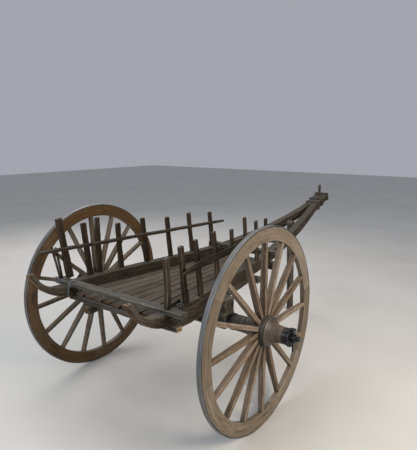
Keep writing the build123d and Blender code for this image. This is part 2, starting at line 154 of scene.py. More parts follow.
def mix(tree, factor, a, b, blend="MIX"):
    made = tree.nodes.new("ShaderNodeMix")
    made.data_type = "RGBA"
    made.blend_type = blend
    for index, value in ((0, factor), (6, a), (7, b)):
        feed(tree, value, made.inputs[index])
    return made.outputs[2]


def start_group(name, inputs):
    """Begin a node group; each input is a name, its kind and the value it has when nothing feeds it."""
    group = bpy.data.node_groups.new(name, "ShaderNodeTree")
    for label, kind, value in inputs:
        socket = group.interface.new_socket(name=label, in_out="INPUT", socket_type=kind)
        if value is not None:
            socket.default_value = value
    return group, group.nodes.new("NodeGroupInput").outputs


def end_group(group, values):
    """Give a node group its named outputs, each a mask, a factor or a height."""
    for label, _ in values:
        group.interface.new_socket(name=label, in_out="OUTPUT", socket_type="NodeSocketFloat")
    ends = group.nodes.new("NodeGroupOutput").inputs
    for label, value in values:
        link(group, value, ends[label])
    return group


def use_group(tree, group, values):
    """Place a node group in a material, with what feeds each of its named inputs."""
    made = tree.nodes.new("ShaderNodeGroup")
    made.node_tree = group
    for label, value in values:
        feed(tree, value, made.inputs[label])
    return made.outputs


def wood_pattern():
    """Streaks, fibres, cracks and stains along the grain, worn edges, painted sky reflection on upward
    faces, painted shade in crevices, and tone.
    """
    group, given = start_group("wood_pattern", (
        ("Grain", "NodeSocketVector", None), ("Edge", "NodeSocketFloat", 0.0),
        ("Tone", "NodeSocketFloat", 0.5), ("Cracking", "NodeSocketFloat", 0.8),
        ("Sky_sheen_strength", "NodeSocketFloat", 0.0), ("Evenness", "NodeSocketFloat", 0.75),
    ))
    grain = given["Grain"]
    streak = noise_at(group, grain, 1.0, 5.0, 0.62, 0.5, (4.5, 55, 55))
    fibre = noise_at(group, grain, 1.0, 3.0, 0.7, 0.2, (22, 140, 140))
    split = noise_at(group, grain, 1.0, 2.0, 0.5, 0.8, (2.2, 38, 38))
    stain = noise_at(group, grain, 1.0, 4.0, 0.55, 0.3, (5, 9, 9))
    chip = noise_at(group, grain, 1.0, 3.0, 0.6, 0.0, (28, 60, 60))
    line = sums(group, "ABSOLUTE", sums(group, "SUBTRACT", split, 0.5))
    crack = span(group, line, 0.0, 0.022, 1.0, 0.0)
    crack = sums(group, "MULTIPLY", crack, span(group, stain, 0.42, 0.6))
    wear = sums(group, "MULTIPLY", given["Edge"], span(group, chip, 0.35, 0.62))
    rows = sums(group, "MULTIPLY", streak, 0.7)
    height = sums(group, "ADD", rows, sums(group, "MULTIPLY", fibre, 0.3))
    height = sums(group, "SUBTRACT", height, sums(group, "MULTIPLY", crack, 0.7))
    # Painted sky reflection: faces that point upward are lightened towards the top colour
    face = group.nodes.new("ShaderNodeNewGeometry")
    upward = span(group, separate(group, face.outputs["Normal"])[2], 0.2, 0.85, 0.0, given["Sky_sheen_strength"])
    # Painted shade: ambient occlusion darkens corners, recesses and the gaps between pieces
    corner = group.nodes.new("ShaderNodeAmbientOcclusion")
    corner.samples = 4
    corner.inputs["Distance"].default_value = 0.035
    return end_group(group, (
        ("Streak", span(group, streak, 0.34, 0.66)),
        ("Gloss", span(group, streak, 0.3, 0.7)),
        ("Stain", span(group, stain, 0.35, 0.65, given["Evenness"], 0.1)),
        ("Fibre", span(group, fibre, 0.35, 0.62, 0.5, 0.0)),
        ("Sky_sheen", sums(group, "MULTIPLY", upward, span(group, stain, 0.3, 0.5, 0.6, 1.0))),
        ("Wear", sums(group, "MULTIPLY", wear, 0.75)),
        ("Value", span(group, given["Tone"], 0.0, 1.0, 0.74, 1.26)),
        ("Saturation", span(group, given["Tone"], 0.0, 1.0, 1.12, 0.88)),
        ("Crack", sums(group, "MULTIPLY", crack, given["Cracking"])),
        ("Dirt_and_crevice_shade", span(group, corner.outputs["AO"], 0.25, 0.85, 0.75, 0.0)),
        ("Height", height),
    ))


def iron_pattern():
    """Forge scale, rust in spots, and edges rubbed bare."""
    group, given = start_group("iron_pattern", (
        ("Lumps", "NodeSocketFloat", 26.0), ("Rusting", "NodeSocketFloat", 0.6),
    ))
    at = group.nodes.new("ShaderNodeTexCoord").outputs["Object"]
    lumps = given["Lumps"]
    big = noise_at(group, at, lumps, 5.0, 0.62, 0.3)
    fine = noise_at(group, at, sums(group, "MULTIPLY", lumps, 9.0), 4.0, 0.6)
    spots = noise_at(group, at, sums(group, "MULTIPLY", lumps, 2.2), 5.0, 0.7, 0.6)
    soft = group.nodes.new("ShaderNodeBevel")
    soft.inputs["Radius"].default_value = 0.003
    face = group.nodes.new("ShaderNodeNewGeometry")
    dot = group.nodes.new("ShaderNodeVectorMath")
    dot.operation = "DOT_PRODUCT"
    link(group, soft.outputs["Normal"], dot.inputs[0])
    link(group, face.outputs["Normal"], dot.inputs[1])
    rubbed = span(group, dot.outputs["Value"], 0.985, 0.9, 0.0, 0.7)
    return end_group(group, (
        ("Scale", span(group, big, 0.35, 0.65)),
        ("Rust", span(group, spots, 0.48, 0.66, 0.0, given["Rusting"])),
        ("Rubbed", sums(group, "MULTIPLY", rubbed, span(group, fine, 0.35, 0.6))),
        ("Dull", span(group, spots, 0.35, 0.65)),
        ("Height", sums(group, "ADD", big, sums(group, "MULTIPLY", fine, 0.3))),
    ))


def threads(tree, at, direction):
    made = tree.nodes.new("ShaderNodeTexWave")
    made.bands_direction = direction
    made.inputs["Scale"].default_value = 70.0
    made.inputs["Distortion"].default_value = 1.5
    link(tree, at, made.inputs["Vector"])
    return made.outputs["Fac"]


def cloth_pattern():
    """A coarse weave and blotches of dirt."""
    group, given = start_group("cloth_pattern", (("Grain", "NodeSocketVector", None),))
    at = given["Grain"]
    weave = sums(group, "MULTIPLY", threads(group, at, "X"), threads(group, at, "Z"))
    blotch = noise_at(group, at, 28.0, 5.0, 0.65, 0.4)
    return end_group(group, (
        ("Weave", weave),
        ("Dirt_and_crevice_shade", span(group, blotch, 0.42, 0.66, 0.0, 0.8)),
        ("Height", sums(group, "ADD", weave, sums(group, "MULTIPLY", blotch, 2.0))),
    ))


WOOD_PATTERN = wood_pattern()
IRON_PATTERN = iron_pattern()
CLOTH_PATTERN = cloth_pattern()


def start_material(name):
    mat = bpy.data.materials.new(name)
    mat.use_nodes = True
    tree = mat.node_tree
    return mat, tree, tree.nodes["Principled BSDF"]


def bump(tree, shader, height_value, strength, distance):
    made = tree.nodes.new("ShaderNodeBump")
    made.inputs["Strength"].default_value = strength
    made.inputs["Distance"].default_value = distance
    link(tree, height_value, made.inputs["Height"])
    link(tree, made.outputs["Normal"], shader.inputs["Normal"])


def wood(name, dark, mid, light, top=None, top_mix=0.0, worn=None, relief=0.0025, even=0.75,
         face_tint=(0.45, 0.42, 0.4), face_mix=0.8, cracks=0.8, rough=(0.92, 0.72), gloss=0.14):
    """Timber whose grain follows each piece; the marks hold edge, a tinted face or end, and tone."""
    mat, tree, shader = start_material(name)
    edge, face_mark, tone = separate(tree, attribute(tree, "marks"))
    out = use_group(tree, WOOD_PATTERN, (
        ("Grain", attribute(tree, "grain")), ("Edge", edge), ("Tone", tone),
        ("Cracking", cracks), ("Sky_sheen_strength", top_mix), ("Evenness", even),
    ))
    colour = mix(tree, out["Streak"], dark, light)
    colour = mix(tree, out["Stain"], colour, mid)
    colour = mix(tree, out["Fibre"], colour, dark)
    # Painted sky reflection: upward faces lean towards the top colour
    if top:
        colour = mix(tree, out["Sky_sheen"], colour, top)
    colour = mix(tree, out["Wear"], colour, worn or light)
    colour = mix(tree, sums(tree, "MULTIPLY", face_mark, face_mix), colour, face_tint, "MULTIPLY")
    shade = tree.nodes.new("ShaderNodeHueSaturation")
    link(tree, colour, shade.inputs["Color"])
    link(tree, out["Value"], shade.inputs["Value"])
    link(tree, out["Saturation"], shade.inputs["Saturation"])
    colour = mix(tree, out["Crack"], shade.outputs["Color"], (0.014, 0.011, 0.009))
    # Painted shade in corners and crevices, from ambient occlusion
    colour = mix(tree, out["Dirt_and_crevice_shade"], colour, (0.02, 0.016, 0.012))
    link(tree, colour, shader.inputs["Base Color"])
    link(tree, span(tree, out["Gloss"], 0.0, 1.0, *rough), shader.inputs["Roughness"])
    shader.inputs["Specular IOR Level"].default_value = gloss
    bump(tree, shader, out["Height"], 0.8, relief)
    return mat


def iron(name, dark, mid, rust, rust_mix, rough=(0.35, 0.7), metal=0.6, relief=0.0015, lumps=26.0):
    """Wrought iron with scale, rust and rubbed edges."""
    mat, tree, shader = start_material(name)
    out = use_group(tree, IRON_PATTERN, (("Lumps", lumps), ("Rusting", rust_mix)))
    colour = mix(tree, out["Scale"], dark, mid)
    colour = mix(tree, out["Rust"], colour, rust)
    colour = mix(tree, out["Rubbed"], colour, tuple(min(1.0, c * 3.2 + 0.03) for c in mid))
    link(tree, colour, shader.inputs["Base Color"])
    link(tree, span(tree, out["Dull"], 0.0, 1.0, *rough), shader.inputs["Roughness"])
    shader.inputs["Metallic"].default_value = metal
    bump(tree, shader, out["Height"], 0.7, relief)
    return mat


def tyre_material(name):
    """Tread polished by the road, sides dull with rust; the marks hold edge and tread."""
    mat, tree, shader = start_material(name)
    grain_at = attribute(tree, "grain")
    edge, tread_mark, _ = separate(tree, attribute(tree, "marks"))
    scratch = noise_at(tree, grain_at, 1.0, 5.0, 0.65, 0.2, (6, 90, 240))
    patch = noise_at(tree, grain_at, 1.0, 5.0, 0.6, 0.4, (9, 20, 24))
    pits = noise_at(tree, grain_at, 130.0, 3.0, 0.6)
    tread = mix(tree, span(tree, scratch, 0.35, 0.65), (0.075, 0.079, 0.084), (0.2, 0.21, 0.22))
    tread = mix(tree, span(tree, patch, 0.45, 0.66, 0.0, 0.7), tread, (0.15, 0.125, 0.1))
    flank = mix(tree, span(tree, patch, 0.4, 0.62), (0.02, 0.017, 0.015), (0.06, 0.045, 0.034))
    colour = mix(tree, tread_mark, flank, tread)
    rubbed = sums(tree, "MULTIPLY", edge, span(tree, patch, 0.4, 0.6, 0.2, 0.7))
    colour = mix(tree, rubbed, colour, (0.24, 0.245, 0.25))
    link(tree, colour, shader.inputs["Base Color"])
    shader.inputs["Metallic"].default_value = 0.55
    link(tree, span(tree, scratch, 0.3, 0.7, 0.7, 0.46), shader.inputs["Roughness"])
    bump(tree, shader, sums(tree, "ADD", scratch, sums(tree, "MULTIPLY", pits, 0.5)), 0.6, 0.0012)
    return mat


def cloth_material(name, base, light, dirt):
    """Coarse woven cloth, blotched with dirt."""
    mat, tree, shader = start_material(name)
    out = use_group(tree, CLOTH_PATTERN, (("Grain", attribute(tree, "grain")),))
    colour = mix(tree, out["Weave"], base, light)
    colour = mix(tree, out["Dirt_and_crevice_shade"], colour, dirt)
    link(tree, colour, shader.inputs["Base Color"])
    shader.inputs["Roughness"].default_value = 0.95
    shader.inputs["Sheen Weight"].default_value = 0.25
    bump(tree, shader, out["Height"], 0.7, 0.0012)
    return mat


# The top colours in these woods are painted sky reflection on upward faces
frame_wood = wood("frame_wood", (0.016, 0.013, 0.01), (0.052, 0.045, 0.036), (0.135, 0.119, 0.097),
                  (0.15, 0.142, 0.125), 0.42, (0.22, 0.197, 0.163), relief=0.004, even=0.3, cracks=0.95,
                  face_tint=(1.5, 1.45, 1.35))
# Painted warm light: the face tint turns the tail's outer curve and the shafts' undersides orange
shaft_wood = wood("shaft_wood", (0.016, 0.012, 0.0085), (0.046, 0.036, 0.026), (0.105, 0.086, 0.063),
                  (0.14, 0.132, 0.115), 0.42, (0.2, 0.17, 0.13), relief=0.004, even=0.45, cracks=0.95,
                  face_tint=(2.1, 1.3, 0.75))
# Painted warm sunlight: a lit copy of the frame wood whose face tint makes the bar's ends bright orange
sunlit_bar_wood = wood("sunlit_bar_wood", (0.018, 0.015, 0.011), (0.056, 0.048, 0.038), (0.135, 0.118, 0.096),
                (0.15, 0.142, 0.125), 0.45, (0.22, 0.195, 0.16), relief=0.004, even=0.3, cracks=0.95,
                face_tint=(3.6, 2.8, 2.1), face_mix=1.0)
# Painted sky light: the face tint lightens each stake's rear face; it also lightens the ends of the rails
# and the loose stick
stake_wood = wood("stake_wood", (0.012, 0.0088, 0.0062), (0.03, 0.0222, 0.0158), (0.062, 0.047, 0.034),
                  (0.11, 0.102, 0.088), 0.3, (0.11, 0.092, 0.072), relief=0.0035, even=0.5, cracks=0.9,
                  face_tint=(1.65, 1.65, 1.6), face_mix=0.9, gloss=0.08)
slat_wood = wood("slat_wood", (0.028, 0.02, 0.014), (0.07, 0.05, 0.034), (0.14, 0.108, 0.078),
                 (0.16, 0.14, 0.115), 0.4, (0.2, 0.16, 0.12), relief=0.004, face_tint=(1.0, 0.75, 0.55))
# The face tint darkens the inboard faces: partly less weathered timber, partly painted shade
felloe_wood = wood("felloe_wood", (0.098, 0.076, 0.056), (0.17, 0.135, 0.1), (0.245, 0.2, 0.153),
                   None, 0.0, (0.33, 0.285, 0.225), face_tint=(0.58, 0.4, 0.22), face_mix=0.85, cracks=0.55)
# Painted shade: the face tint darkens the spokes' inboard faces
spoke_wood = wood("spoke_wood", (0.068, 0.047, 0.032), (0.165, 0.12, 0.085), (0.29, 0.222, 0.162),
                  None, 0.0, (0.38, 0.31, 0.235), face_tint=(0.66, 0.77, 0.84), cracks=0.6)
hub_wood = wood("hub_wood", (0.018, 0.014, 0.011), (0.052, 0.042, 0.033), (0.125, 0.1, 0.078),
                None, 0.0, (0.2, 0.165, 0.13), relief=0.003, even=0.4, rough=(0.62, 0.4), gloss=0.45,
                face_tint=(1.4, 1.08, 0.88), face_mix=1.0)
tyre_iron = tyre_material("tyre_iron")
black_iron = iron("black_iron", (0.004, 0.004, 0.005), (0.014, 0.015, 0.018), (0.028, 0.02, 0.014), 0.6,
                  (0.14, 0.42), 0.35, 0.002, 40.0)
frame_iron = iron("frame_iron", (0.02, 0.018, 0.017), (0.055, 0.05, 0.046), (0.12, 0.06, 0.03), 0.8)
rag_pale = cloth_material("rag_pale", (0.07, 0.075, 0.085), (0.17, 0.18, 0.195), (0.075, 0.066, 0.055))
rag_dark = cloth_material("rag_dark", (0.014, 0.014, 0.015), (0.045, 0.045, 0.048), (0.03, 0.025, 0.02))


# Mesh helpers; faces that meet at more than this angle in degrees keep a sharp edge
SHARP = 26


def paint(mesh, grain, marks):
    """Keep the grain's coordinates and the marks with the points of a mesh."""
    for key, values in (("grain", grain), ("marks", marks)):
        layer = mesh.attributes.new(key, "FLOAT_VECTOR", "POINT")
        layer.data.foreach_set("vector", [c for v in values for c in v])
    mesh.polygons.foreach_set("use_smooth", [True] * len(mesh.polygons))


class Build:
    """One piece that grows ring by ring; each point is (place, grain coordinates, marks)."""

    def __init__(self):
        self.verts = []
        self.faces = []
        self.grain = []
        self.marks = []

    def ring(self, points):
        first = len(self.verts)
        for at, coords, marks in points:
            self.verts.append(at)
            self.grain.append(coords)
            self.marks.append(marks)
        return first, len(points)

    def bridge(self, a, b):
        first, count = a
        second, _ = b
        for k in range(count):
            n = (k + 1) % count
            self.faces.append((first + k, first + n, second + n, second + k))

    def cap(self, ring, centre, coords, marks):
        first, count = ring
        tip = len(self.verts)
        self.verts.append(centre)
        self.grain.append(coords)
        self.marks.append(marks)
        for k in range(count):
            self.faces.append((first + k, first + (k + 1) % count, tip))

    def make(self, name, body, material, replaces=()):
        mesh = bpy.data.meshes.new(name)
        mesh.from_pydata(self.verts, [], self.faces)
        paint(mesh, self.grain, self.marks)
        work = bmesh.new()
        work.from_mesh(mesh)
        bmesh.ops.recalc_face_normals(work, faces=work.faces)
        work.to_mesh(mesh)
        work.free()
        mesh.set_sharp_from_angle(angle=math.radians(SHARP))
        mesh.materials.append(material)
        made = bpy.data.objects.new(name, mesh)
        bpy.context.collection.objects.link(made)
        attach(made, body)
        if replaces:
            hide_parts(*replaces)


def wander(a, b, c):
    return noise.noise(Vector((a, b, c)))


def section(half_u, half_v, corner, count_u, count_v):
    """Round a worn rectangle: u, v, outward u, outward v, closeness to a corner."""
    points = []
    corners = ((1, 1), (-1, 1), (-1, -1), (1, -1))
    for index, (su, sv) in enumerate(corners):
        low = index * 90
        for angle, edge in ((12, 0.5), (45, 1.0), (78, 0.5)):
            a = math.radians(low + angle)
            u = su * (half_u - corner) + corner * math.cos(a)
            v = sv * (half_v - corner) + corner * math.sin(a)
            points.append((u, v, math.cos(a), math.sin(a), edge))
        count = count_u if index % 2 == 0 else count_v
        tu, tv = corners[(index + 1) % 4]
        a = math.radians(low + 90)
        for k in range(count):
            t = (k + 0.5) / count
            u = (su * (1 - t) + tu * t) * (half_u - corner) + corner * math.cos(a)
            v = (sv * (1 - t) + tv * t) * (half_v - corner) + corner * math.sin(a)
            points.append((u, v, math.cos(a), math.sin(a), 0.0))
    return points


def sweep(build, stations, seed, worn=4.0, rough=1.0, warp=0.0, step=14.0, closed=False, twist=0.0,
          end_round=3.0, face=None, vary=0.03, tone=None, inward=False, cross=4.0, groove=1.2, ends=1.0):
    """A worn bar along stations of (centre, u axis, v axis, half u, half v), in drawing millimetres."""
    # worn is the corners' radius, rough the height of lumps, groove the grain's depth, vary its change
    # step and cross space the mesh along and across; face picks the marked side, ends marks the end faces
    lucky = random.Random(seed)
    shift = lucky.uniform(5, 90)
    drawn = lucky.random() if tone is None else tone
    spots = [Vector(s[0]) for s in stations]
    if closed:
        spots.append(spots[0])
        stations = list(stations) + [stations[0]]
    run = [0.0]
    for a, b in zip(spots, spots[1:]):
        run.append(run[-1] + (b - a).length)
    total = run[-1]
    count = max(2, int(total / step))
    half_u = max(s[3] for s in stations)
    half_v = max(s[4] for s in stations)
    count_u = max(1, int(2 * half_u / cross))
    count_v = max(1, int(2 * half_v / cross))
    rings = []
    leg = 0
    steps = count if closed else count + 1
    ahead = (spots[1] - spots[0]).normalized()
    for k in range(steps):
        s = total * k / count
        while leg < len(run) - 2 and s > run[leg + 1]:
            leg += 1
        t = (s - run[leg]) / max(1e-6, run[leg + 1] - run[leg])
        a, b = stations[leg], stations[leg + 1]
        centre = Vector(a[0]).lerp(Vector(b[0]), t)
        u_axis = Vector(a[1]).lerp(Vector(b[1]), t).normalized()
        v_axis = Vector(a[2]).lerp(Vector(b[2]), t).normalized()
        hu = a[3] + (b[3] - a[3]) * t
        hv = a[4] + (b[4] - a[4]) * t
        if (spots[leg + 1] - spots[leg]).length > 1e-6:
            ahead = (spots[leg + 1] - spots[leg]).normalized()
        if twist:
            spin = Matrix.Rotation(math.radians(twist) * (s / total - 0.5), 3, ahead)
            u_axis = spin @ u_axis
            v_axis = spin @ v_axis
        if warp:
            fade = math.sin(math.pi * s / total) if not closed else 0.0
            centre = centre + u_axis * warp * fade * wander(s / 260 + shift, 3.1, 0)
            centre = centre + v_axis * warp * fade * wander(s / 300 + shift, 9.7, 0)
        hu *= 1 + vary * 2 * wander(s / 170 + shift, 1.3, 0) - vary
        hv *= 1 + vary * 2 * wander(s / 150 + shift, 5.9, 0) - vary
        wearing = worn * (1 + 0.7 * wander(s / 60 + shift, 7.7, 0))
        corner = min(wearing, hu * 0.95, hv * 0.95)
        tone = drawn(s / total) if callable(drawn) else drawn
        turns = [(1.0, s)]
        if not closed and k == 0:
            turns = [(1 - end_round / max(hu, hv, end_round * 2), s), (1.0, s + end_round * 0.7)]
        if not closed and k == steps - 1:
            turns = [(1.0, s - end_round * 0.7), (1 - end_round / max(hu, hv, end_round * 2), s)]
        for shrink, along in turns:
            points = []
            at_end = 1.0 if shrink < 1 else 0.0
            base = centre + ahead * (along - s)
            for u, v, nu, nv, edge in section(hu, hv, corner, count_u, count_v):
                lump = wander(along / 70 + shift, u / 16, v / 16) * 0.6
                lump += wander(along / 22 + shift, u / 9 + 4, v / 9) * 0.4
                ridge = wander(along / 190 + shift, u / 7 + shift, v / 7)
                push = rough * (lump - (0.45 if inward else 0.0)) - groove * (0.45 + ridge)
                u2 = (u + nu * push) * shrink
                v2 = (v + nv * push) * shrink
                at = base + u_axis * u2 + v_axis * v2
                marks = (max(edge, at_end * 0.5), at_end, tone)
                if face:
                    marks = (max(edge, at_end), 1.0 if nu * face[0] + nv * face[1] > 0.5 else 0.0, tone)
                coords = (along / 1000 + shift, u / 1000 + shift, v / 1000)
                points.append((place(*at), coords, marks))
            rings.append((build.ring(points), base, along))
    for a, b in zip(rings, rings[1:]):
        build.bridge(a[0], b[0])
    if closed:
        build.bridge(rings[-1][0], rings[0][0])
    else:
        for ring, base, along in (rings[0], rings[-1]):
            build.cap(ring, place(*base), (along / 1000 + shift, shift, 0), (0.0, ends, tone))


def bar_y(build, x0, x1, z0, z1, y0, y1, seed, **more):
    x = (x0 + x1) / 2
    z = (z0 + z1) / 2
    half_x = (x1 - x0) / 2
    half_z = (z1 - z0) / 2
    stations = [((x, y, z), (1, 0, 0), (0, 0, 1), half_x, half_z) for y in (y0, y1)]
    sweep(build, stations, seed, **more)


# Wheels
def at_wheel(side, phase, x, y, z):
    a = math.radians(phase)
    x, z = x * math.cos(a) + z * math.sin(a), z * math.cos(a) - x * math.sin(a)
    if side < 0:
        x, y = -x, -y
    return Vector((x, y + side * WHEEL_Y, z + AXLE_Z))


def wheel_axis(side, phase, x, y, z):
    return at_wheel(side, phase, x, y, z) - at_wheel(side, phase, 0, 0, 0)


# Hub: offset from the wheel's middle, outward, and radius
HUB_PROFILE = (
    (-222, 50), (-184, 51.5), (-110, 53), (-88, 58), (-66, 70), (-46, 88), (-32, 95), (-27, 96), (27, 96),
    (45, 95), (48, 90), (52, 90), (55, 93), (61, 87), (70, 77), (82, 67), (94, 60), (110, 55), (151, 51),
    (152, 45.5), (179, 45.5), (180, 47.5), (182, 47),
)
# Spokes: radius, width and depth
SPOKE_TABLE = ((SPOKE_ROOT, 29, 47), (185, 30, 45), (330, 28, 42), (SPOKE_TIP, 27, 35.5))


def revolve(build, side, phase, profile, seed, rough=0.6, around=84):
    """Turned wood round the axle from (offset, radius) pairs; the marks tint the neck and its tone."""
    shift = 11.3 + seed
    rings = []
    fine = [profile[0]]
    for (y0, r0), (y1, r1) in zip(profile, profile[1:]):
        pieces = max(1, int(math.hypot(y1 - y0, r1 - r0) / 9))
        for k in range(1, pieces + 1):
            fine.append((y0 + (y1 - y0) * k / pieces, r0 + (r1 - r0) * k / pieces))
    for y, r in fine:
        points = []
        for k in range(around):
            a = 2 * math.pi * k / around
            spin = Vector((math.sin(a), 0, math.cos(a)))
            lump = wander(spin.x * 2.2 + shift, spin.z * 2.2, y / 34)
            lump += 0.5 * wander(spin.x * 7, spin.z * 7 + shift, y / 9)
            radius = r + rough * (lump - 0.3)
            radius -= 0.35 * (1 + math.sin(y * 0.9 + 2 * wander(y / 13, shift, 0)))
            at = at_wheel(side, phase, radius * spin.x, y, radius * spin.z)
            coords = (radius * spin.x / 1000 + shift, y / 1000, radius * spin.z / 15000)
            neck = min(1.0, max(0.0, (y - 72) / 30))
            points.append((place(*at), coords, (0.0, neck, 0.5 if y < 53 else neck)))
        rings.append(build.ring(points))
    for a, b in zip(rings, rings[1:]):
        build.bridge(a, b)
    return rings


# The left wheel stands four degrees further back in its turn
for name, side, phase in (("right", -1, 0.0), ("left", 1, -4.0)):
    body = f"{name}_wheel"
    felloes = Build()
    across = wheel_axis(side, phase, 0, 1, 0)
    middle = (FELLOE_IN + FELLOE_OUT) / 2
    share = 360 / FELLOES
    for index in range(FELLOES):
        start = (index + 0.25) * share + 0.06
        stations = []
        for k in range(13):
            a = math.radians(start + (share - 0.12) * k / 12)
            out = wheel_axis(side, phase, math.sin(a), 0, math.cos(a))
            centre = at_wheel(side, phase, middle * math.sin(a), 0, middle * math.cos(a))
            stations.append((centre, out, across, (FELLOE_OUT - FELLOE_IN) / 2, FELLOE_WIDE / 2))
        # face marks the inboard face, which felloe_wood darkens: partly less weathered timber, partly
        # painted shade
        sweep(felloes, stations, 100 + index + 40 * (side > 0), worn=2.5, rough=1.2, step=13, end_round=0.8,
              vary=0.012, inward=True, face=(0, -1), cross=6.0, groove=0.8)
    felloes.make(f"{name}_felloes_worn", body, felloe_wood, (f"{name}_felloes",))

    spokes = Build()
    for index in range(SPOKES):
        a = math.radians(index * 360 / SPOKES)
        tangent = wheel_axis(side, phase, math.cos(a), 0, -math.sin(a))
        lean = random.Random(300 + index + 40 * side).uniform(-3, 3)
        stations = []
        for r, wide, deep in SPOKE_TABLE:
            off = lean * math.sin(math.pi * (r - SPOKE_ROOT) / (SPOKE_TIP - SPOKE_ROOT))
            x = r * math.sin(a) + off * math.cos(a)
            z = r * math.cos(a) - off * math.sin(a)
            centre = at_wheel(side, phase, x, 0, z)
            stations.append((centre, tangent, across, wide / 2, deep / 2))
        # face marks the inboard face, where spoke_wood paints shade
        sweep(spokes, stations, 200 + index + 40 * (side > 0), worn=3.5, rough=1.2, step=11, vary=0.03,
              face=(0, -1), inward=True, groove=0.9)
    spokes.make(f"{name}_spokes_worn", body, spoke_wood, (f"{name}_spokes",))

    tyre = Build()
    stations = []
    middle = TYRE_R - TYRE_SINK
    for k in range(120):
        a = 2 * math.pi * k / 120
        out = wheel_axis(side, phase, math.sin(a), 0, math.cos(a))
        dent = 1.4 * wander(3 * math.sin(a) + side, 3 * math.cos(a), 2)
        centre = at_wheel(side, phase, middle * math.sin(a), dent, middle * math.cos(a))
        stations.append((centre, out, across, TYRE_THICK / 2, TYRE_WIDE / 2))
    sweep(tyre, stations, 400 + side, worn=2.0, rough=0.5, step=16, closed=True, face=(1, 0), vary=0.0,
          inward=True, cross=10.0, groove=0.0)
    tyre.make(f"{name}_tyre_worn", body, tyre_iron, (f"{name}_tyre",))

    hub = Build()
    rings = revolve(hub, side, phase, HUB_PROFILE, 2 + side)
    for ring, (y, _) in ((rings[0], HUB_PROFILE[0]), (rings[-1], HUB_PROFILE[-1])):
        inner = []
        for k in range(ring[1]):
            a = 2 * math.pi * k / ring[1]
            x = HUB_BORE * math.sin(a)
            z = HUB_BORE * math.cos(a)
            at = place(*at_wheel(side, phase, x, y, z))
            inner.append((at, (y / 1000, x / 1000, z / 1000), (0.0, 0.0, 0.0)))
        hub.bridge(ring, hub.ring(inner))
    hub.make(f"{name}_hub_turned", body, hub_wood, (f"{name}_hub",))


# Shafts: rings across the curl of the tail, then upright rings forward to the nose
def rise(start, end, x):
    if x <= RISE_X:
        return start
    run = NOSE_X - RISE_X
    lift = end - start
    radius = (run * run + lift * lift) / (2 * lift)
    return start + radius - math.sqrt(radius * radius - (x - RISE_X) ** 2)


def shaft_y(x):
    if x <= BEND_X:
        return SHAFT_Y
    return max(HALF, SHAFT_Y - CONVERGE * (x - BEND_X))


def shaft_mid(x):
    return (rise(BOTTOM, NOSE_LOW, x) + rise(TOP, NOSE_HIGH, x)) / 2


def arc(a, b, c, count):
    """Points on the circle through three points of a plane."""
    (ax, az), (bx, bz), (cx, cz) = a, b, c
    d = 2 * (ax * (bz - cz) + bx * (cz - az) + cx * (az - bz))
    sa, sb, sc = ax * ax + az * az, bx * bx + bz * bz, cx * cx + cz * cz
    ox = (sa * (bz - cz) + sb * (cz - az) + sc * (az - bz)) / d
    oz = (sa * (cx - bx) + sb * (ax - cx) + sc * (bx - ax)) / d
    r = math.hypot(ax - ox, az - oz)
    first = math.atan2(az - oz, ax - ox)
    last = math.atan2(cz - oz, cx - ox)
    while last < first:
        last += 2 * math.pi
    return [(ox + r * math.cos(first + (last - first) * k / count),
             oz + r * math.sin(first + (last - first) * k / count)) for k in range(count + 1)]


outer_curl = arc((-825, 980), (-737, 859), (-540, 770), 24)
inner_curl = arc((-780, 980), (-731, 908), (-640, 854), 18)
inner_curl += [(-640 + 15 * k, 854 - k) for k in range(1, 7)]
for name, side in (("right", -1), ("left", 1)):
    shaft = Build()
    stations = []
    for (x0, z0), (x1, z1) in zip(outer_curl[:-1], inner_curl[:-1]):
        mid_x = (x0 + x1) / 2
        reach = math.hypot(x1 - x0, z1 - z0)
        part = min(1.0, max(0.0, (mid_x + 825) / 225))
        width = 13 + 22 * part
        out = Vector((x1 - x0, 0, z1 - z0)).normalized()
        stations.append(((mid_x, side * SHAFT_Y, (z0 + z1) / 2), out, (0, 1, 0), reach / 2, width))
    x = -535.0
    while x < NOSE_X - 12:
        low = rise(BOTTOM, NOSE_LOW, x)
        high = rise(TOP, NOSE_HIGH, x)
        centre = (x, side * shaft_y(x), (low + high) / 2)
        stations.append((centre, (0, 0, 1), (0, 1, 0), (high - low) / 2, HALF))
        x += 60.0
    centre = (NOSE_X - 10, side * HALF, (NOSE_LOW + NOSE_HIGH) / 2 - 3)
    stations.append((centre, (0, 0, 1), (0, 1, 0), 34, HALF))
    # face marks the tail's outer curve and the shafts' undersides, where shaft_wood paints warm light
    sweep(shaft, stations, 500 + side, worn=4.5, rough=2.2, step=14, vary=0.012, end_round=4, face=(-1, 0),
          tone=lambda part: 0.9 - 0.66 * min(1.0, part / 0.12), cross=5.0, groove=1.8, ends=0.0)
    shaft.make(f"{name}_shaft_hewn", "frame", shaft_wood, (f"{name}_shaft",))

# Crossbars, sills and floor; bars are x, z and y from and to, tone, worn corners and roughness
bars = (
    ("rear_upper_crossbar", -550, -480, 842, 872, -574, 574, 0.7, 6.0, 3.0),
    ("rear_lower_crossbar", -512, -456, 733, 770, -513, 455, 0.65, 5.0, 2.0),
    ("middle_crossbar", 572, 628, 720, 770, -395, 395, 0.4, 5.0, 1.5),
    ("front_upper_crossbar", 940, 1000, 840, 892, -345, 345, 0.55, 7.0, 2.0),
)
for index, (name, x0, x1, z0, z1, y0, y1, tone, worn, rough) in enumerate(bars):
    bar = Build()
    bar_y(bar, x0, x1, z0, z1, y0, y1, 600 + index, worn=worn, rough=rough, tone=tone, step=12, groove=2.2)
    # The rear lower crossbar takes the sunlit copy of the frame wood, with painted sunlight on its ends
    bar.make(f"{name}_hewn", "frame", sunlit_bar_wood if index == 1 else frame_wood, (name,))
bar = Build()
bar_y(bar, 940, 1000, 730, 795, -325, 325, 610, worn=6.0, rough=2.0, step=12)
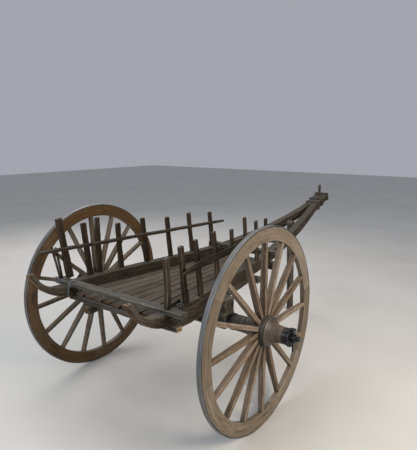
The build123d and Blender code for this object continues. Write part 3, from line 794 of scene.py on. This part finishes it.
ledge = shaft_y(940) - 39
bar_y(bar, 915, 942, 731, 770, -ledge, ledge, 611, worn=4.0, rough=1.5, step=12)
bar.make("front_lower_crossbar_hewn", "frame", frame_wood, ("front_lower_crossbar",))

for name, side in (("right", -1), ("left", 1)):
    sill = Build()
    for places in ((-456, -300, -48), (48, 300, 572)):
        stations = []
        for x in places:
            y = side * (shaft_y(x) - 12)
            stations.append(((x, y, 737.5), (0, 1, 0), (0, 0, 1), 19, 32.5))
        sweep(sill, stations, 620 + side + places[0], worn=5.0, rough=1.6, step=14, tone=0.2)
    sill.make(f"{name}_sill_hewn", "frame", frame_wood, (f"{name}_sill",))

slats = Build()
SLATS = 9
rear_width = SHAFT_Y - HALF - 6
front_width = shaft_y(940) - HALF - 6
for index, stagger in enumerate((0, 5, -4, 3, -6, 4, -2, 5, -3)):
    middle = (index + 0.5) / SLATS * 2 - 1
    rear_half = rear_width / SLATS - 4.5
    front_half = front_width / SLATS - 2.5
    stations = []
    for x, wide, half in ((-503 + stagger, rear_width, rear_half), (BEND_X, rear_width, rear_half),
                          (939, front_width, front_half)):
        stations.append(((x, middle * wide, 780), (0, 1, 0), (0, 0, 1), half, 9.5))
    sweep(slats, stations, 640 + index, worn=4.0, rough=1.5, warp=1.5, step=16, vary=0.03, end_round=7,
          groove=0.4)
slats.make("floor_slats_hewn", "frame", slat_wood, ("floor_slats",))

# Racks: foot x, top over the shaft, foot width, top width, thickness, outer face, lean back in degrees
RIGHT_STAKES = (
    (-513, 306, 45, 39, 27, 0, 1.6), (-373, 355, 46, 36, 27, 36, 8.8), (-201, 362, 54, 30, 22, 36, 10.5),
    (33, 370, 48, 37, 22, 36, 11.0), (262, 338, 40, 34, 22, 36, 6.0), (498, 388, 40, 34, 22, 36, 8.0),
    (700, 328, 44, 38, 22, 36, 7.0), (900, 314, 44, 38, 22, 36, 6.0),
)
LEFT_STAKES = (
    (-537, 250, 28, 30, 22, 36, 11.0), (-477, 428, 52, 44, 30, 36, 8.2), (-320, 375, 46, 40, 26, 36, 5.8),
    (-241, 400, 42, 38, 22, 36, 1.0), (-60, 337, 44, 40, 22, 36, 3.0), (180, 348, 46, 40, 22, 36, 6.0),
    (420, 326, 44, 38, 22, 36, 6.0), (660, 334, 42, 38, 22, 36, 7.0), (900, 314, 44, 38, 22, 36, 6.0),
)
# Rails: x from, x to, z from, z to, inner face, outer face
RIGHT_RAIL = (-455, 1010, 1048, 1083, 36, 66)
LEFT_RAIL = (-700, 1010, 1072, 1096, -26, 14)
slope = math.atan(CONVERGE)


def beside(side, along, across, z):
    """A place by its distance along the shaft from the bend and outward from the shaft's line."""
    a = -side * slope
    x = along * math.cos(a) - side * across * math.sin(a)
    y = along * math.sin(a) + side * across * math.cos(a)
    return Vector((BEND_X + x, side * SHAFT_Y + y, z))


for name, side, table in (("right", -1, RIGHT_STAKES), ("left", 1, LEFT_STAKES)):
    stakes = Build()
    ahead = beside(side, 1, 0, 0) - beside(side, 0, 0, 0)
    outward = beside(side, 0, 1, 0) - beside(side, 0, 0, 0)
    for index, (foot_x, top_over, foot_wide, top_wide, thick, outer, lean) in enumerate(table):
        on_bar = foot_x - foot_wide / 2 < -480
        low = 876 if on_bar else rise(TOP, NOSE_HIGH, foot_x)
        top = TOP + top_over
        along = (foot_x - BEND_X) / math.cos(slope)
        back = math.tan(math.radians(lean))
        twist = random.Random(700 + index + 20 * side).uniform(-9, 9)
        # Strands: shift, spread at the top, share of the width, shortening; the last left stake is split
        strands = ((0, 0, 1, 0),)
        if side > 0 and index == 0:
            strands = ((-0.27, -5, 0.42, 0.0), (0.26, 5, 0.4, 0.06))
        for shift, spread, share, short in strands:
            stations = []
            for part in (0.0, 0.3, 0.65, 1.0):
                z = low - 3 + (top - low + 3) * part * (1 - short)
                wide = foot_wide + (top_wide - foot_wide) * part
                at = along - back * (z - low) + shift * wide + spread * part
                centre = beside(side, at, outer - thick / 2, z)
                up_axis = Vector((0, 0, 1)) - ahead * back
                face = ahead - up_axis.normalized() * ahead.dot(up_axis.normalized())
                stations.append((centre, face.normalized(), outward, wide / 2 * share, thick / 2))
            # face marks each stake's rear face, where stake_wood paints sky light
            sweep(stakes, stations, 700 + index + 20 * side, worn=3.0, rough=2.2, warp=4.0, step=9,
                  twist=twist, vary=0.06, end_round=4, face=(-1, -1 if short or shift else 0))
    stakes.make(f"{name}_stakes_hewn", "frame", stake_wood, (f"{name}_stakes",))

for name, side, places in (("right", -1, RIGHT_RAIL), ("left", 1, LEFT_RAIL)):
    x0, x1, z0, z1, inner, outer = places
    rail = Build()
    outward = beside(side, 0, 1, 0) - beside(side, 0, 0, 0)
    stations = []
    taper = 0.5 if side < 0 else 1.0
    for x, full in ((x0, taper), (x0 + 110, (taper + 2) / 3), (x0 + 500, 1.0), (x1 - 500, 1.0), (x1, 0.9)):
        along = (x - BEND_X) / math.cos(slope)
        centre = beside(side, along, (inner + outer) / 2, (z0 + z1) / 2)
        stations.append((centre, outward, (0, 0, 1), (outer - inner) / 2 * full, (z1 - z0) / 2 * full))
    sweep(rail, stations, 740 + side, worn=4.0, rough=2.2, warp=3.0, step=12, vary=0.05, end_round=5,
          tone=0.45, groove=1.8)
    # The right rail has a thin pole along its top
    if side < 0:
        pole = []
        for x, lift, half in ((x0 + 25, 4, 5), (x0 + 150, 9, 8), (x0 + 700, 8, 8), (x1 - 60, 8, 6)):
            centre = beside(side, (x - BEND_X) / math.cos(slope), outer - 8, z1 + lift)
            pole.append((centre, outward, (0, 0, 1), half, half))
        sweep(rail, pole, 745, worn=6.0, rough=1.6, warp=5.0, step=10, vary=0.08, end_round=4, tone=0.2,
              groove=0.8)
    rail.make(f"{name}_top_rail_hewn", "frame", stake_wood, (f"{name}_top_rail",))

# Spreader and chock log are round
spread = shaft_y(1400) + HALF + 6
mid = shaft_mid(1400)
rod = Build()
stations = [((1400, y, mid), (1, 0, 0), (0, 0, 1), 20, 20) for y in (-spread, spread)]
sweep(rod, stations, 760, worn=17, rough=1.2, step=12, vary=0.03)
rod.make("spreader_bar_hewn", "frame", frame_wood, ("spreader_bar",))
log = Build()
stations = []
for x, radius in ((-499, 18), (-494, 31), (-484, 40), (-470, 43.5), (-400, 43.5), (-330, 43.5), (-316, 40),
                  (-306, 31), (-301, 18)):
    stations.append(((x, 300, 689), (0, 1, 0), (0, 0, 1), radius, radius))
sweep(log, stations, 770, worn=40, rough=2.4, step=7, vary=0.03, end_round=4, tone=0.3)
log.make("chock_log_barked", "frame", shaft_wood, ("chock_log",))


# Rag bindings: flat strips wound tight over a path of corners, each with the way the strip faces
def rounded(path, times=2):
    for _ in range(times):
        cut = []
        for (a, na), (b, nb) in zip(path, path[1:] + path[:1]):
            cut.append((a.lerp(b, 0.25), na.lerp(nb, 0.25)))
            cut.append((a.lerp(b, 0.75), na.lerp(nb, 0.75)))
        path = cut
    return path


def strip(build, corners, wide, thick, seed):
    """One closed turn of a strip; corners are (x, y, z, facing x, facing y, facing z) in millimetres."""
    path = rounded([(Vector(c[:3]), Vector(c[3:])) for c in corners])
    stations = []
    for index, (at, facing) in enumerate(path):
        after = path[(index + 1) % len(path)][0]
        before = path[index - 1][0]
        run = (after - before).normalized()
        facing = (facing - run * facing.dot(run)).normalized()
        stations.append((at, facing, run.cross(facing), thick / 2, wide / 2))
    sweep(build, stations, seed, worn=1.2, rough=1.5, step=6, closed=True, vary=0.12, groove=0.5)


def knot(build, at, size, seed):
    """A hard knot: a short lump and two stubs that lie against the wood."""
    lucky = random.Random(seed)
    centre = Vector(at)
    for length, thick in ((size * 1.5, size * 0.5), (size * 2.6, size * 0.26), (size * 2.3, size * 0.22)):
        way = Vector((lucky.uniform(-1, 1), lucky.uniform(-1, 1), lucky.uniform(-0.5, 0.2))).normalized()
        side_way = way.cross(Vector((0.3, 0.2, 1))).normalized()
        up_way = way.cross(side_way)
        stations = []
        for part, full in ((-0.5, 0.5), (-0.2, 0.95), (0.1, 1.0), (0.5, 0.55)):
            spot = centre + way * length * part + Vector((0, 0, -size * 0.5 * max(0.0, part)))
            stations.append((spot, side_way, up_way, thick * full, thick * full * 0.8))
        sweep(build, stations, seed, worn=thick, rough=1.2, step=4, vary=0.1, end_round=2, groove=0.3)


def square_lashing(build, side, wide, spread, seed):
    """A turn over the crossbar on both sides of the shaft and under the shaft before and behind the bar."""
    out = side * (SHAFT_Y + HALF + 3 + spread)
    inn = side * (SHAFT_Y - HALF - 3 - spread)
    far_out = out + side * 5
    far_in = inn - side * 5
    rear, front = -553.0, -477.0
    strip(build, (
        (rear, far_out, 874, -0.7, 0, 1), (front, far_out, 874, 0.7, 0, 1),
        (front + 2, out, 838, 1, side, 0), (front + 6 + spread, out, 770, 0, side, -1),
        (front + 6 + spread, inn, 767, 0, -side, -1), (front + 2, inn, 838, 1, -side, 0),
        (front, far_in, 874, 0.7, 0, 1), (rear, far_in, 874, -0.7, 0, 1),
        (rear - 2, inn, 838, -1, -side, 0), (rear - 6 - spread, inn, 772, 0, -side, -1),
        (rear - 6 - spread, out, 772, 0, side, -1), (rear - 2, out, 838, -1, side, 0),
    ), wide, 3.0, seed)


def bar_turn(build, y, wide, slant, seed):
    """A turn round the rear crossbar alone."""
    strip(build, (
        (-552, y - slant, 842, -1, 0, -0.6), (-552, y - slant, 872, -1, 0, 0.6),
        (-548, y, 875, -0.3, 0, 1), (-482, y + slant, 875, 0.3, 0, 1),
        (-478, y + slant, 872, 1, 0, 0.6), (-478, y + slant, 842, 1, 0, -0.6),
        (-482, y, 839, 0.3, 0, -1), (-548, y, 839, -0.3, 0, -1),
    ), wide, 3.2, seed)


def shaft_turn(build, side, x, slant, wide, seed):
    """A turn round a shaft, square to its length."""
    out = side * (shaft_y(x) + HALF + 3)
    inn = side * (shaft_y(x) - HALF - 3)
    strip(build, (
        (x, out, 770, 0, side, -0.6), (x + slant, out, 862, 0, side, 0.6),
        (x + slant, out - side * 6, 865, 0, 0.3, 1), (x, inn + side * 6, 865, 0, -0.3, 1),
        (x, inn, 862, 0, -side, 0.6), (x - slant, inn, 770, 0, -side, -0.6),
        (x - slant, inn + side * 6, 766, 0, 0, -1), (x, out - side * 6, 766, 0, 0, -1),
    ), wide, 3.2, seed)


far_rag = Build()
for index, (wide, spread) in enumerate(((13, 0), (11, 2.5), (12, 5.0))):
    square_lashing(far_rag, 1, wide, spread, 800 + index)
turns = ((487, 16, 6), (501, 17, -5), (516, 14, 8), (530, 12, -4), (383, 13, 7))
for index, (y, wide, slant) in enumerate(turns):
    bar_turn(far_rag, y, wide, slant, 810 + index)
knot(far_rag, (-512, 498, 882), 15, 820)
knot(far_rag, (-556, 520, 858), 12, 821)
far_rag.make("left_corner_rag", "frame", rag_pale)

near_rag = Build()
shaft_turn(near_rag, -1, -404, 8, 20, 840)
shaft_turn(near_rag, -1, -418, -9, 16, 841)
near_rag.make("right_corner_rag", "frame", rag_dark)

# A stick laid on the right shaft between the first two stakes
stick = Build()
stations = []
for x, y, z, half_y, half_z in ((-498, -443, 871, 8, 9), (-430, -428, 874, 9, 10), (-362, -411, 872, 8, 9)):
    stations.append(((x, y, z), (0, 1, 0), (0, 0, 1), half_y, half_z))
sweep(stick, stations, 850, worn=4, rough=1.5, step=7, vary=0.06, end_round=3, tone=0.8)
stick.make("right_loose_stick", "frame", stake_wood)


def soften(node_name, body, material, width, cut, axis, rough, sink=0.0, narrow=None):
    """A worn copy of a solid: bevels of one width, a mesh cut to one spacing, grain along one axis."""
    source = bpy.data.objects[node_name]
    work = bmesh.new()
    work.from_mesh(source.data)
    bmesh.ops.remove_doubles(work, verts=work.verts, dist=0.00002)
    bmesh.ops.dissolve_limit(work, angle_limit=math.radians(2), verts=work.verts, edges=work.edges)
    sharp = [e for e in work.edges if len(e.link_faces) == 2 and e.calc_face_angle() > math.radians(35)]
    bmesh.ops.bevel(work, geom=sharp, offset=width, segments=2, profile=0.5, affect="EDGES")
    low = [min(v.co[k] for v in work.verts) for k in range(3)]
    high = [max(v.co[k] for v in work.verts) for k in range(3)]
    for k in range(3):
        count = int((high[k] - low[k]) / cut)
        for step in range(1, count + 1):
            point = Vector(low)
            point[k] += (high[k] - low[k]) * step / (count + 1)
            normal = Vector((0, 0, 0))
            normal[k] = 1
            geom = work.verts[:] + work.edges[:] + work.faces[:]
            bmesh.ops.bisect_plane(work, geom=geom, plane_co=point, plane_no=normal)
    work.normal_update()
    turned = {"x": (0, 1, 2), "y": (1, 0, 2), "z": (2, 0, 1)}[axis]
    coords = []
    marks = []
    moves = []
    for vert in work.verts:
        angles = [e.calc_face_angle(0) for e in vert.link_edges if len(e.link_faces) == 2]
        coords.append(tuple(vert.co[k] for k in turned))
        marks.append((min(1.0, max(angles, default=0) * 1.6), 0.0, 0.45))
        lump = noise.noise(vert.co * 16) * 0.6 + noise.noise(vert.co * 55) * 0.4
        moves.append(vert.normal * ((lump - sink) * rough / 1000))
    for vert, move in zip(work.verts, moves):
        vert.co += move
        if narrow:
            vert.co.x = narrow(vert.co.x, vert.co.z)
    mesh = bpy.data.meshes.new(node_name + "_worn")
    work.to_mesh(mesh)
    work.free()
    paint(mesh, coords, marks)
    mesh.materials.append(material)
    made = bpy.data.objects.new(node_name + "_worn", mesh)
    bpy.context.collection.objects.link(made)
    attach(made, body)
    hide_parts(node_name)


def narrow_tail(x, z):
    """The linchpin tapers below the axle."""
    middle = -FRONT / 1000
    return middle + (x - middle) * (1 - 0.55 * min(1.0, max(0.0, (0.605 - z) / 0.04)))


soften("axle_bed", "frame", frame_wood, 0.005, 0.03, "y", 2.0)
soften("bolster", "frame", frame_wood, 0.004, 0.03, "y", 1.8)
soften("prop_leg", "prop", frame_wood, 0.003, 0.04, "z", 1.0, 0.7)
soften("axle_washers", "frame", black_iron, 0.0012, 0.012, "y", 1.6, 0.5)
soften("linchpins", "frame", black_iron, 0.001, 0.01, "z", 1.4, 0.4, narrow_tail)

# Iron that keeps its solid
for material, names in (
    (frame_iron, ("axle_clips", "nose_bands", "yoke_pin", "prop_pin", "prop_spacers")),
    (black_iron, ("axle", "right_hub_bands", "left_hub_bands", "right_hub_box", "left_hub_box")),
):
    for name in names:
        for slot in bpy.data.objects[name].material_slots:
            slot.material = material

# Plain pale floor and soft studio light
bpy.ops.mesh.primitive_plane_add(size=40, location=(0, 0, 0))
floor = bpy.context.object
floor.name = "floor"
mat, tree, shader = start_material("floor_pale")
at = tree.nodes.new("ShaderNodeTexCoord").outputs["Object"]
patches = span(tree, noise_at(tree, at, 1.2, 3.0, 0.5), 0.3, 0.7)
link(tree, mix(tree, patches, (0.55, 0.54, 0.52), (0.6, 0.59, 0.57)), shader.inputs["Base Color"])
shader.inputs["Roughness"].default_value = 0.9
floor.data.materials.append(mat)
world = bpy.data.worlds.new("studio")
bpy.context.scene.world = world
world.use_nodes = True
sky = world.node_tree.nodes["Background"]
sky.inputs["Color"].default_value = (0.86, 0.9, 1.0, 1)
sky.inputs["Strength"].default_value = 0.42


def area(name, at, target, size, energy, colour):
    lamp = bpy.data.lights.new(name, "AREA")
    lamp.shape = "DISK"
    lamp.size = size
    lamp.energy = energy
    lamp.color = colour
    made = bpy.data.objects.new(name, lamp)
    made.location = at
    aim = Vector(target) - Vector(at)
    made.rotation_euler = aim.to_track_quat("-Z", "Y").to_euler()
    bpy.context.collection.objects.link(made)


area("sky_fill", (-4.5, 0.5, 3.2), (-0.9, 0, 0.7), 3.0, 85.0, (0.84, 0.92, 1.0))
area("warm_key", (-1.1, -4.6, 2.9), (-1.0, 0, 0.45), 2.2, 205.0, (1.0, 0.89, 0.74))
area("top_soft", (0.3, 1.5, 5.0), (-0.5, 0, 0.6), 3.5, 62.0, (1.0, 0.97, 0.92))
area("far_fill", (1.4, 4.6, 4.2), (-0.4, 0, 0.6), 3.5, 110.0, (1.0, 0.97, 0.92))
